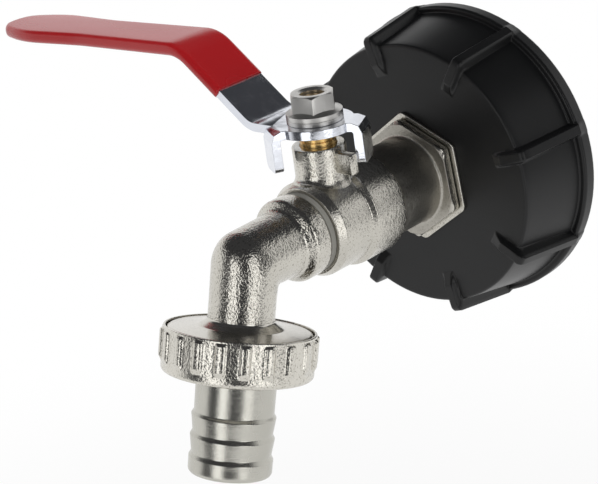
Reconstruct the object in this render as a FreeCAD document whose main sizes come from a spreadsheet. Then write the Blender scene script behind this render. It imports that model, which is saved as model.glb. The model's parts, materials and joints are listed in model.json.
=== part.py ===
"""Tank outlet valve: a screw cap with a quarter-turn ball valve, a bent spout and a hose tail.

The flow axis is Y. The mouth of the cap is at the origin and opens towards +Y. The valve
lies on the -Y side, its stem stands along +Z, and the lever points along -X when shut.
Lengths are in millimetres, angles in degrees.
"""
import FreeCAD, Part
import os
import re
import Sketcher

doc = FreeCAD.newDocument("TankValve")
sheet = doc.addObject("Spreadsheet::Sheet", "Sizes")

# ---------------------------------------------------------------- driving sizes
SIZES = {
    "Tank cap": {
        "rim_radius": 39.0, "rim_height": 4.2, "skirt_radius": 37.2, "face_radius": 34.2,
        "cap_height": 22.6, "thread_radius": 30.0, "relief_radius": 31.0,
        "relief_length": 4.6, "wall": 4.5, "cap_edge_round": 1.0, "lug_count": 8,
        "lug_phase": 15.5, "lug_width": 3.4, "lug_inner_radius": 27.0, "lug_rise": 1.6,
        "lug_proud": 2.6, "lug_corner": 1.0, "lug_rim_proud": 0.65,
    },
    "Gasket of the cap": {"gasket_inner": 22.5, "gasket_thickness": 3.0, "gasket_play": 0.5},
    "Threaded insert": {
        "insert_flats": 29.4, "insert_proud": 0.9, "insert_radius": 13.6,
        "insert_collar_radius": 18.0, "insert_collar_height": 2.0, "insert_corner_round": 2.0,
        "moulded_play": 0.05,
    },
    "Valve body": {
        "hex_flats": 27.0, "hex_thickness": 2.4, "hex_turn": 6.0, "hex_bevel": 0.5,
        "seal_thickness": 0.4, "seal_inner": 10.7, "seal_outer": 13.0,
        "inlet_thread_radius": 10.4, "inlet_thread_play": 0.1, "inlet_length": 9.8,
        "thread_lead": 0.6, "hex_bevel_rise": 0.6,
        "neck_radius": 11.3, "neck_length": 14.4, "shoulder_bevel": 1.6,
        "chamber_radius": 13.0, "chamber_length": 10.1, "step_bevel": 1.1,
        "front_radius": 11.9, "front_length": 9.2, "front_bevel_length": 2.0,
        "front_bevel_depth": 1.0, "waterway_radius": 6.8,
    },
    "Stem boss": {
        "stem_y": -56.0, "boss_radius": 6.5, "boss_top": 19.6, "boss_bore": 4.5,
        "boss_floor": 12.4, "stop_reach": 11.4, "stop_half_width": 1.3, "stop_top": 18.4,
        "stop_height": 5.2, "stop_turn": -3.0,
    },
    "Ball and seats": {
        "ball_radius": 7.8, "ball_bore": 5.0, "ball_gap": 0.2, "slot_width": 2.6,
        "slot_floor": 5.7, "ball_room_play": 0.6, "seat_radius": 8.1, "seat_thickness": 4.2,
        "seat_bore": 5.2, "seat_front": 3.9, "seat_play": 0.05,
    },
    "Stem": {
        "stem_radius": 3.0, "stem_play": 0.05, "collar_radius": 4.2, "collar_play": 0.2,
        "collar_bottom": 8.15, "collar_height": 1.3, "washer_height": 0.4,
        "washer_play": 0.05, "tang_width": 2.4, "tang_length": 6.0, "tang_bottom": 5.9,
        "drive_flats": 4.6, "drive_start": 22.9, "stem_top": 31.2, "stem_top_bevel": 0.5,
    },
    "Packing and gland": {
        "packing_height": 3.9, "gland_play": 0.05, "gland_thread_depth": 3.2,
        "gland_low_radius": 4.4, "gland_low_height": 1.1, "gland_top_radius": 3.95,
        "gland_top": 22.7,
    },
    "Lever": {
        "plate": 2.2, "lever_top": 25.4, "hub_radius": 9.3, "first_bend": 14.6,
        "slope": 39.0, "second_bend": 35.8, "lever_reach": 107.5, "grip_drop": 0.6,
        "inner_bend_round": 5.0, "upper_bend_round": 9.0, "strip_half_width": 7.4,
        "waist_half_width": 6.9, "head_flare": 21.0, "head_length": 12.5,
        "head_half_width": 8.6, "head_round": 12.0, "tip_half_width": 4.6, "tip_round": 5.0,
        "tab_inner": 10.0, "tab_half_width": 3.7, "tab_bottom": 15.2, "tab_bend": 2.6,
        "tab_inner_bend": 0.4, "tab_corner": 1.6, "stop_gap": 1.0, "travel": 90.0,
        "hole_play": 0.1,
    },
    "Grip": {"grip_wall": 0.6, "grip_start": 8.1},
    "Lever nut": {
        "nut_flats": 10.0, "nut_flange_radius": 6.8, "nut_flange_height": 1.1,
        "nut_cone_height": 0.7, "nut_height": 5.8, "nut_turn": -18.5, "nut_bore": 3.05,
        "nut_bevel": 0.6, "lock_washer_height": 1.2, "nut_mouth": 0.6,
    },
    "Spout": {
        "plug_radius": 9.6, "plug_length": 3.9, "plug_play": 0.12, "plug_edge": 0.5,
        "plug_gap": 0.5, "groove_length": 1.8, "groove_radius": 9.2, "bead_radius": 10.3,
        "bead_length": 4.6, "bead_bevel": 0.7, "bead_fall": 1.6, "spout_radius": 8.1,
        "corner_y": -85.2, "corner_radius": 8.5, "spout_tilt": 17.8, "drop_radius": 7.85,
        "spout_bore": 6.2, "disc_distance": 15.4, "disc_radius": 17.0,
        "disc_thickness": 1.5, "disc_edge": 0.4, "cone_radius": 10.8, "cone_height": 1.9,
        "outlet_thread_radius": 13.2, "outlet_end": 21.6, "outlet_bore": 7.4,
    },
    "Spout seal": {"ring_outer": 10.1, "ring_play": 0.15, "ring_side_play": 0.1},
    "Swivel nut": {
        "swivel_wall": 0.55, "swivel_top": 15.3, "swivel_bottom": 26.0,
        "disc_play": 0.35, "swivel_thread_play": 0.35, "lip": 1.3, "tail_play": 0.35,
        "bottom_round": 1.7, "flute_count": 20, "flute_phase": 13.0, "flute_radius": 1.25,
        "flute_sink": 0.5, "flute_length": 7.4, "rim_bevel": 0.35,
    },
    "Hose tail": {
        "face_gap": 0.1, "hose_washer_height": 1.3, "tail_flange_radius": 12.8,
        "tail_flange_height": 1.5, "tail_bore": 7.4, "tail_radius": 9.5,
        "tail_waist": 9.4, "barb_start": 35.2, "barb_pitch": 5.0, "barb_count": 3,
        "barb_radius": 9.95, "barb_root": 9.35, "barb_step": 0.8, "barb_fall": 0.3,
        "end_radius": 9.9, "end_start": 46.8, "tail_end": 49.8, "end_round": 1.4,
    },
}


def fill_sheet():
    """One row per size: its name in column A, its plain number and alias in column B."""
    row = 1
    for group, sizes in SIZES.items():
        sheet.set(f"A{row}", group)
        row += 1
        for name, number in sizes.items():
            sheet.set(f"A{row}", name.replace("_", " "))
            sheet.set(f"B{row}", str(number))
            sheet.setAlias(f"B{row}", name)
            row += 1
    doc.recompute()


fill_sheet()


ALIASES = {name for sizes in SIZES.values() for name in sizes}


def size(words):
    """Turn the names of sizes in an expression into references to the sheet."""
    def refer(word):
        return "Sizes." + word[0] if word[0] in ALIASES else word[0]
    return "(" + re.sub(r"[A-Za-z_]\w*", refer, str(words)) + ")"


def number(words):
    """The present value of an expression on the sheet, as a plain number."""
    found = sheet.evalExpression(size(words))
    return float(getattr(found, "Value", found))


# ---------------------------------------------------------------- named stations
# Along Y, from the mouth of the cap towards the spout.
CAP_FACE = "-cap_height"
CAP_INNER = "(wall - cap_height)"
INSERT_FRONT = "(-cap_height - insert_proud)"
HEX_BACK = "(-cap_height - insert_proud - seal_thickness)"
HEX_FRONT = f"({HEX_BACK} - hex_thickness)"
NECK_END = f"({HEX_FRONT} - neck_length)"
CHAMBER_START = f"({NECK_END} - shoulder_bevel)"
CHAMBER_END = f"({CHAMBER_START} - chamber_length)"
FRONT_START = f"({CHAMBER_END} - step_bevel)"
FRONT_BEVEL = f"({FRONT_START} - front_length)"
BODY_END = f"({FRONT_BEVEL} - front_bevel_length)"
PLUG_END = f"({BODY_END} + plug_length)"
BEAD_START = f"({BODY_END} - groove_length)"
BEAD_END = f"({BEAD_START} - bead_length)"
INLET_SEAT_BACK = "(stem_y + seat_front + seat_thickness)"
INLET_SEAT_FRONT = "(stem_y + seat_front)"
OUTLET_SEAT_BACK = "(stem_y - seat_front)"
OUTLET_SEAT_FRONT = "(stem_y - seat_front - seat_thickness)"
# Up Z, from the flow axis.
COLLAR_TOP = "(collar_bottom + collar_height)"
WASHER_TOP = f"({COLLAR_TOP} + 2 * washer_play + washer_height)"
PLATE_BOTTOM = "(lever_top - plate)"
NUT_SEAT = "(lever_top + lock_washer_height)"
NUT_TOP = f"({NUT_SEAT} + nut_height)"
GLAND_BOTTOM = "(boss_top - gland_thread_depth)"
# Down the spout, from its corner.
DISC_BACK = "(disc_distance + disc_thickness)"
TAIL_WASHER_TOP = "(outlet_end + face_gap)"
TAIL_WASHER_END = f"({TAIL_WASHER_TOP} + hose_washer_height)"
TAIL_FLANGE_END = f"({TAIL_WASHER_END} + tail_flange_height)"
# Radii that follow the piece inside.
SWIVEL_POCKET = "(disc_radius + disc_play)"
SWIVEL_RADIUS = f"({SWIVEL_POCKET} + swivel_wall)"
GLAND_BORE = "(stem_radius + stem_play)"
# How far a cut runs past the face that it opens.
BEYOND = "1"
# How near an edge lies to the place that it is picked by.
NEAR = 0.05

ORIGIN = FreeCAD.Vector(0, 0, 0)
ACROSS = FreeCAD.Vector(1, 0, 0)
UP = FreeCAD.Vector(0, 0, 1)
# The frame that a turned piece is drawn in: its plane, and the local place of its axis.
FLOW, STEM, SPOUT = "flow", "stem", "spout"


# ---------------------------------------------------------------- drawing helpers
def plane_of(body, role):
    """One of a body's own origin planes."""
    return next(item for item in body.Origin.OriginFeatures if item.Role == role)


def new_body(name, frame=FLOW):
    """A body placed in its frame: on the flow axis, at the stem, or along the spout."""
    body = doc.addObject("PartDesign::Body", name)
    body.Label = name
    if frame == STEM:
        body.setExpression("Placement.Base.y", size("stem_y"))
    if frame == SPOUT:
        body.Placement = FreeCAD.Placement(ORIGIN, FreeCAD.Rotation(ACROSS, 1))
        body.setExpression("Placement.Base.y", size("corner_y"))
        body.setExpression("Placement.Rotation.Angle", size("-spout_tilt"))
    return body


def new_sketch(body, name, role, shift="0", turn="0", about=UP):
    """A sketch on one of the body's planes, shifted along its normal and turned."""
    sketch = body.newObject("Sketcher::SketchObject", name)
    sketch.AttachmentSupport = [(plane_of(body, role), "")]
    sketch.MapMode = "FlatFace"
    sketch.AttachmentOffset = FreeCAD.Placement(ORIGIN, FreeCAD.Rotation(about, 1))
    sketch.setExpression("AttachmentOffset.Base.z", size(shift))
    sketch.setExpression("AttachmentOffset.Rotation.Angle", size(turn))
    return sketch


def pin_point(sketch, edge, end, across, up):
    """Tie one end of an edge to its two coordinates, each an expression on the sheet."""
    for kind, words in (("DistanceX", across), ("DistanceY", up)):
        rule = Sketcher.Constraint(kind, -1, 1, edge, end, number(words))
        sketch.setExpression(f"Constraints[{sketch.addConstraint(rule)}]", size(words))


def outline(sketch, points):
    """A closed outline of straight lines through points given as pairs of expressions."""
    places = [FreeCAD.Vector(number(across), number(up), 0) for across, up in points]
    first = sketch.GeometryCount
    last = len(points) - 1
    for index, place in enumerate(places):
        sketch.addGeometry(Part.LineSegment(place, places[(index + 1) % len(places)]))
    for index in range(len(points)):
        following = first + (index + 1) % len(points)
        sketch.addConstraint(Sketcher.Constraint("Coincident", first + index, 2, following, 1))
    for index, (across, up) in enumerate(points):
        pin_point(sketch, first + index, 1, across, up)
    return first, first + last


def circle(sketch, radius, across="0", up="0"):
    """A circle of a given radius about a point."""
    centre = FreeCAD.Vector(number(across), number(up), 0)
    edge = sketch.addGeometry(Part.Circle(centre, UP, number(radius)))
    pin_point(sketch, edge, 3, across, up)
    rule = Sketcher.Constraint("Radius", edge, number(radius))
    sketch.setExpression(f"Constraints[{sketch.addConstraint(rule)}]", size(radius))


def hexagon(sketch, flats, turn="0"):
    """A hexagon by its width over flats, one corner at 30 degrees plus its turn."""
    corners = []
    for step in range(6):
        angle = f"({30 + 60 * step} + {turn})"
        corners.append((f"({flats}) / 2 / cos(30) * cos{angle}",
                        f"({flats}) / 2 / cos(30) * sin{angle}"))
    outline(sketch, corners)


def revolve(body, name, points, frame=FLOW, cut=False, shift="0"):
    """Turn a closed outline of (radius, station) pairs about the axis of the frame."""
    role = "XY_Plane" if frame == FLOW else "XZ_Plane"
    sketch = new_sketch(body, name + "_outline", role, shift)
    outline(sketch, points)
    kind = "PartDesign::Groove" if cut else "PartDesign::Revolution"
    turned = body.newObject(kind, name)
    turned.Profile = sketch
    turned.ReferenceAxis = (sketch, ["V_Axis"])
    turned.Angle = 360
    doc.recompute()
    return turned


def pad(body, name, sketch, length, midplane=False, reverse=False):
    """Extrude a sketch."""
    block = body.newObject("PartDesign::Pad", name)
    block.Profile = sketch
    block.setExpression("Length", size(length))
    block.Midplane = midplane
    block.Reversed = reverse
    doc.recompute()
    return block


def pocket(body, name, sketch, length, midplane=False, reverse=False):
    """Cut a sketch away, and make sure that it removed something."""
    before = body.Tip.Shape.Volume
    hole = body.newObject("PartDesign::Pocket", name)
    hole.Profile = sketch
    hole.setExpression("Length", size(length))
    hole.Midplane = midplane
    hole.Reversed = reverse
    doc.recompute()
    if hole.Shape.Volume >= before:
        raise ValueError(f"{name} cuts nothing")
    return hole


def polar(body, name, feature, plane_role, count):
    """Repeat a feature round the axis that is normal to one of the body's planes."""
    axis_role = {"XZ_Plane": "Y_Axis", "XY_Plane": "Z_Axis"}[plane_role]
    pattern = body.newObject("PartDesign::PolarPattern", name)
    pattern.Originals = [feature]
    pattern.Axis = (plane_of(body, axis_role), [""])
    pattern.Angle = 360
    pattern.setExpression("Occurrences", size(count))
    body.Tip = pattern
    doc.recompute()
    return pattern


def dress(body, name, kind, amount, keep):
    """Fillet or chamfer the edges of the tip that a test on each edge picks out."""
    base = body.Tip
    picked = [f"Edge{index + 1}" for index, edge in enumerate(base.Shape.Edges) if keep(edge)]
    if not picked:
        raise ValueError(f"{name} finds no edge")
    finish = body.newObject("PartDesign::" + kind, name)
    finish.Base = (base, picked)
    finish.setExpression("Radius" if kind == "Fillet" else "Size", size(amount))
    doc.recompute()
    return finish


def is_ring(edge, radius, station=None, axis="y"):
    """Whether an edge is a full circle of a radius, at a station along an axis."""
    curve = edge.Curve
    if not hasattr(curve, "Radius") or abs(curve.Radius - number(radius)) > NEAR:
        return False
    if station is None:
        return True
    return abs(getattr(curve.Center, axis) - number(station)) < NEAR


def turned_piece(name, frame, points):
    """A body that is one closed outline turned about the axis of its frame."""
    body = new_body(name, frame)
    revolve(body, name + "_turning", points, frame)
    return body


def washer(name, frame, inner, outer, start, end):
    """A flat ring between two stations."""
    return turned_piece(name, frame, [(inner, start), (outer, start), (outer, end), (inner, end)])


def down(points):
    """Stations counted down the spout become heights in its frame."""
    return [(radius, f"-({station})") for radius, station in points]


# ---------------------------------------------------------------- cap, gasket and insert
def make_cap():
    """Screw cap: a tapered cup with a rim flange and eight lugs that wrap over its edge."""
    body = new_body("tank_cap")
    revolve(body, "cap_cup", [
        ("insert_radius + moulded_play", CAP_FACE),
        ("face_radius", CAP_FACE),
        ("skirt_radius", "-rim_height"),
        ("rim_radius", "-rim_height"),
        ("rim_radius", "0"),
        ("thread_radius", "0"),
        ("thread_radius", f"{CAP_INNER} + relief_length"),
        ("relief_radius", f"{CAP_INNER} + relief_length"),
        ("relief_radius", CAP_INNER),
        ("insert_radius + moulded_play", CAP_INNER)])
    dress(body, "cap_edges", "Fillet", "cap_edge_round", lambda edge: (
        is_ring(edge, "face_radius", CAP_FACE) or is_ring(edge, "rim_radius")))
    profile = new_sketch(body, "lug_outline", "YZ_Plane")
    outline(profile, [
        (f"{CAP_FACE} + wall / 2", "lug_inner_radius"),
        (CAP_FACE, "lug_inner_radius"),
        (f"{CAP_FACE} - lug_rise", "lug_inner_radius + 2 * lug_rise"),
        (f"{CAP_FACE} - lug_rise", "face_radius + lug_proud - lug_corner"),
        (f"{CAP_FACE} - lug_rise + lug_corner", "face_radius + lug_proud"),
        ("-rim_height", "rim_radius + lug_rim_proud"),
        ("-rim_height / 2", "rim_radius + lug_rim_proud - lug_corner"),
        ("-rim_height / 2", "thread_radius + wall / 2"),
        (f"{CAP_FACE} + wall / 2", "thread_radius + wall / 2")])
    lug = pad(body, "lug", profile, "lug_width", midplane=True)
    polar(body, "lugs", lug, "XZ_Plane", "lug_count")
    body.Placement = FreeCAD.Placement(ORIGIN, FreeCAD.Rotation(FreeCAD.Vector(0, 1, 0), 1))
    body.setExpression("Placement.Rotation.Angle", size("90 - lug_phase"))
    return body


def make_insert():
    """Metal insert moulded into the end wall: hexagonal outside, collared inside."""
    body = new_body("thread_insert")
    bore = "inlet_thread_radius + inlet_thread_play"
    revolve(body, "insert_barrel", [
        (bore, INSERT_FRONT),
        ("insert_radius", INSERT_FRONT),
        ("insert_radius", CAP_INNER),
        ("insert_collar_radius", CAP_INNER),
        ("insert_collar_radius", f"{CAP_INNER} + insert_collar_height"),
        (bore, f"{CAP_INNER} + insert_collar_height")])
    face = new_sketch(body, "insert_hexagon", "XZ_Plane", f"-{INSERT_FRONT}")
    hexagon(face, "insert_flats", "hex_turn")
    circle(face, bore)
    pad(body, "insert_hex", face, "insert_proud", reverse=True)
    corner = "insert_flats / 2 / cos(30)"
    dress(body, "insert_corners", "Fillet", "insert_corner_round", lambda edge: (
        edge.Length < number("insert_proud") + NEAR
        and abs(FreeCAD.Vector(edge.CenterOfMass.x, edge.CenterOfMass.z, 0).Length
                - number(corner)) < NEAR))
    return body


# ---------------------------------------------------------------- valve body
def make_valve_body():
    """Cast body: inlet thread, hexagon, neck, ball chamber, stem boss and stop lug."""
    body = new_body("valve_body")
    revolve(body, "body_casting", [
        ("0", f"{HEX_BACK} + inlet_length"),
        ("inlet_thread_radius - thread_lead", f"{HEX_BACK} + inlet_length"),
        ("inlet_thread_radius", f"{HEX_BACK} + inlet_length - thread_lead"),
        ("inlet_thread_radius", HEX_BACK),
        ("neck_radius", HEX_BACK),
        ("neck_radius", NECK_END),
        ("chamber_radius", CHAMBER_START),
        ("chamber_radius", CHAMBER_END),
        ("front_radius", FRONT_START),
        ("front_radius", FRONT_BEVEL),
        ("front_radius - front_bevel_depth", BODY_END),
        ("0", BODY_END)])
    face = new_sketch(body, "body_hexagon", "XZ_Plane", f"-{HEX_BACK}")
    hexagon(face, "hex_flats", "hex_turn")
    pad(body, "body_hex", face, "hex_thickness")
    corner = "hex_flats / 2 / cos(30)"
    revolve(body, "hex_corner_bevel", [
        (f"{corner} - hex_bevel", HEX_FRONT),
        (f"{corner} + {BEYOND}", HEX_FRONT),
        (f"{corner} + {BEYOND}", f"{HEX_FRONT} + hex_bevel + hex_bevel_rise"),
        (corner, f"{HEX_FRONT} + hex_bevel")], cut=True)
    boss = new_sketch(body, "boss_circle", "XY_Plane")
    circle(boss, "boss_radius", "0", "stem_y")
    pad(body, "boss", boss, "boss_top")
    stop = new_sketch(body, "stop_outline", "XY_Plane", "stop_top - stop_height")
    corners = []
    for radius, side in (("boss_radius / 2", 1), ("stop_reach", 1),
                         ("stop_reach", -1), ("boss_radius / 2", -1)):
        out, aside = f"({radius})", f"({side} * stop_half_width)"
        corners.append((f"{out} * cos(stop_turn) - {aside} * sin(stop_turn)",
                        f"stem_y + {out} * sin(stop_turn) + {aside} * cos(stop_turn)"))
    outline(stop, corners)
    pad(body, "stop_lug", stop, "stop_height")
    revolve(body, "waterway", [
        ("0", f"{HEX_BACK} + inlet_length + {BEYOND}"),
        ("waterway_radius", f"{HEX_BACK} + inlet_length + {BEYOND}"),
        ("waterway_radius", INLET_SEAT_BACK),
        ("seat_radius + seat_play", INLET_SEAT_BACK),
        ("seat_radius + seat_play", INLET_SEAT_FRONT),
        ("ball_radius + ball_room_play", INLET_SEAT_FRONT),
        ("ball_radius + ball_room_play", f"{PLUG_END} + plug_gap"),
        ("plug_radius + plug_play", f"{PLUG_END} + plug_gap"),
        ("plug_radius + plug_play", f"{BODY_END} - {BEYOND}"),
        ("0", f"{BODY_END} - {BEYOND}")], cut=True)
    revolve(body, "stem_bore", [
        ("0", "0"),
        ("collar_radius + collar_play", "0"),
        ("collar_radius + collar_play", WASHER_TOP),
        (GLAND_BORE, WASHER_TOP),
        (GLAND_BORE, "boss_floor"),
        ("boss_bore", "boss_floor"),
        ("boss_bore", f"boss_top + {BEYOND}"),
        ("0", f"boss_top + {BEYOND}")], frame=STEM, cut=True, shift="-stem_y")
    return body


# ---------------------------------------------------------------- ball and seats
def make_ball():
    """Bored ball with a slot across its top for the tang of the stem."""
    ball = doc.addObject("Part::Sphere", "ball_blank")
    ball.setExpression("Radius", size("ball_radius"))
    bore = doc.addObject("Part::Cylinder", "ball_waterway")
    bore.setExpression("Radius", size("ball_bore"))
    bore.setExpression("Height", size("4 * ball_radius"))
    bore.Placement = FreeCAD.Placement(ORIGIN, FreeCAD.Rotation(FreeCAD.Vector(0, 1, 0), 90))
    bore.setExpression("Placement.Base.x", size("-2 * ball_radius"))
    slot = doc.addObject("Part::Box", "ball_slot")
    slot.setExpression("Length", size("slot_width"))
    slot.setExpression("Width", size("4 * ball_radius"))
    slot.setExpression("Height", size("ball_radius"))
    slot.setExpression("Placement.Base.x", size("-slot_width / 2"))
    slot.setExpression("Placement.Base.y", size("-2 * ball_radius"))
    slot.setExpression("Placement.Base.z", size("slot_floor"))
    bored = doc.addObject("Part::Cut", "ball_bored")
    bored.Base = ball
    bored.Tool = bore
    slotted = doc.addObject("Part::Cut", "ball")
    slotted.Base = bored
    slotted.Tool = slot
    slotted.Label = "ball"
    slotted.setExpression("Placement.Base.y", size("stem_y"))
    doc.recompute()
    return slotted


def make_seat(name, back, front):
    """Ring that bears on the ball, hollowed to the ball's sphere."""
    ring = washer(name + "_ring", FLOW, "seat_bore", "seat_radius", back, front)
    ball = doc.addObject("Part::Sphere", name + "_hollow")
    ball.setExpression("Radius", size("ball_radius + ball_gap"))
    ball.setExpression("Placement.Base.y", size("stem_y"))
    seat = doc.addObject("Part::Cut", name)
    seat.Base = ring
    seat.Tool = ball
    seat.Label = name
    doc.recompute()
    return seat


# ---------------------------------------------------------------- stem, packing and gland
def make_stem():
    """Brass stem: tang, collar, shaft, flats for the lever and a threaded end."""
    body = new_body("stem", STEM)
    revolve(body, "stem_turning", [
        ("0", "collar_bottom"),
        ("collar_radius", "collar_bottom"),
        ("collar_radius", COLLAR_TOP),
        ("stem_radius", COLLAR_TOP),
        ("stem_radius", "stem_top - stem_top_bevel"),
        ("stem_radius - stem_top_bevel", "stem_top"),
        ("0", "stem_top")], STEM)
    tang = new_sketch(body, "tang_outline", "XY_Plane", "tang_bottom")
    outline(tang, [("-tang_width / 2", "-tang_length / 2"), ("tang_width / 2", "-tang_length / 2"),
                   ("tang_width / 2", "tang_length / 2"), ("-tang_width / 2", "tang_length / 2")])
    pad(body, "tang", tang, "collar_bottom - tang_bottom + collar_height / 2")
    flats = new_sketch(body, "flats_outline", "XY_Plane", "drive_start")
    reach = f"stem_radius + {BEYOND}"
    for side in ("-1", "1"):
        outline(flats, [(f"-({reach})", f"{side} * drive_flats / 2"),
                        (reach, f"{side} * drive_flats / 2"),
                        (reach, f"{side} * ({reach})"), (f"-({reach})", f"{side} * ({reach})")])
    pocket(body, "flats", flats, "lever_top - drive_start", reverse=True)
    return body


def make_gland():
    """Brass gland nut: threaded part in the boss, two stepped rings above it."""
    thread = "boss_bore - gland_play"
    step = "boss_top + gland_low_height"
    return turned_piece("gland_nut", STEM, [
        (GLAND_BORE, GLAND_BOTTOM), (thread, GLAND_BOTTOM), (thread, "boss_top"),
        ("gland_low_radius", "boss_top"), ("gland_low_radius", step),
        ("gland_top_radius", step), ("gland_top_radius", "gland_top"),
        (GLAND_BORE, "gland_top")])


# ---------------------------------------------------------------- lever and grip
RISE = "((second_bend - first_bend) * tan(slope))"
RUN = "(lever_reach - second_bend)"
HEAD_REACH = "(lever_reach - head_length)"
WAIST_REACH = f"({HEAD_REACH} - head_flare)"


def side_outline(sketch, above, below, start, reach):
    """Bent strip seen from the side, between two offsets from the upper face of the plate.

    start is how far down the slope from the first bend the strip begins, or None for
    the whole strip from the hub.
    """
    upper = f"(({above}) * tan(slope / 2))"
    lower = f"(({below}) * tan(slope / 2))"
    droop = "sin(grip_drop)"
    # Offsets of the corner points keep both faces parallel to the strip.
    top_bend = (f"-second_bend + {upper}", f"lever_top + {RISE} + ({above})")
    low_bend = (f"-second_bend - {lower}", f"lever_top + {RISE} - ({below})")
    top_tip = (f"-({reach})", f"lever_top + {RISE} + ({above}) - {RUN} * {droop}")
    low_tip = (f"-({reach})", f"lever_top + {RISE} - ({below}) - {RUN} * {droop}")
    if start is None:
        outline(sketch, [
            ("hub_radius", "lever_top"), ("-first_bend", "lever_top"), top_bend, top_tip,
            low_tip, low_bend, (f"-first_bend - {lower}", PLATE_BOTTOM),
            ("hub_radius", PLATE_BOTTOM)])
        return
    begin = f"({start})"
    outline(sketch, [
        (f"-first_bend - {begin} * cos(slope) + ({above}) * sin(slope)",
         f"lever_top + {begin} * sin(slope) + ({above}) * cos(slope)"),
        top_bend, top_tip, low_tip, low_bend,
        (f"-first_bend - {begin} * cos(slope) - ({below}) * sin(slope)",
         f"lever_top + {begin} * sin(slope) - ({below}) * cos(slope)")])


def plan_outline(sketch, skin):
    """Outline of the lever from above: straight strip, waist, wider head and tip."""
    half = [("2 * hub_radius", "strip_half_width"), ("-second_bend", "strip_half_width"),
            (f"-{WAIST_REACH}", "waist_half_width"), (f"-{HEAD_REACH}", "head_half_width"),
            (f"-lever_reach - ({skin})", "tip_half_width")]
    side = [(across, f"{up} + ({skin})") for across, up in half]
    other = [(across, f"-({up})") for across, up in reversed(side)]
    outline(sketch, side + other)


def trim_to_plan(body, name, skin):
    """Cut a strip down to the plan outline and round its head and tip."""
    plan = new_sketch(body, name + "_plan", "XY_Plane")
    plan_outline(plan, skin)
    reach = "lever_reach + head_half_width"
    wide = "2 * head_half_width"
    outline(plan, [("3 * hub_radius", wide), (f"-({reach})", wide),
                   (f"-({reach})", f"-{wide}"), ("3 * hub_radius", f"-{wide}")])
    pocket(body, name, plan, "2 * lever_reach", reverse=True)
    for corner, amount, across, up in (
            ("tip", f"tip_round + ({skin})", f"lever_reach + ({skin})", "tip_half_width"),
            ("head", "head_round", HEAD_REACH, "head_half_width")):
        place = (-number(across), number(f"{up} + ({skin})"))
        dress(body, f"{name}_{corner}", "Fillet", amount, lambda edge, place=place: (
            abs(edge.CenterOfMass.x - place[0]) < NEAR
            and abs(abs(edge.CenterOfMass.y) - place[1]) < NEAR))


def round_bends(body, above, below):
    """Round the two bends of the strip on both faces."""
    def at(across, up):
        return lambda edge: (abs(edge.CenterOfMass.x - number(across)) < NEAR
                             and abs(edge.CenterOfMass.z - number(up)) < NEAR)
    upper = f"(({above}) * tan(slope / 2))"
    lower = f"(({below}) * tan(slope / 2))"
    thick = f"({above}) + ({below})"
    tall = f"lever_top + {RISE}"
    dress(body, body.Name + "_outer_bend", "Fillet", f"upper_bend_round + ({thick})",
          at(f"-second_bend + {upper}", f"{tall} + ({above})"))
    dress(body, body.Name + "_outer_bend_below", "Fillet", "upper_bend_round",
          at(f"-second_bend - {lower}", f"{tall} - ({below})"))


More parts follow.
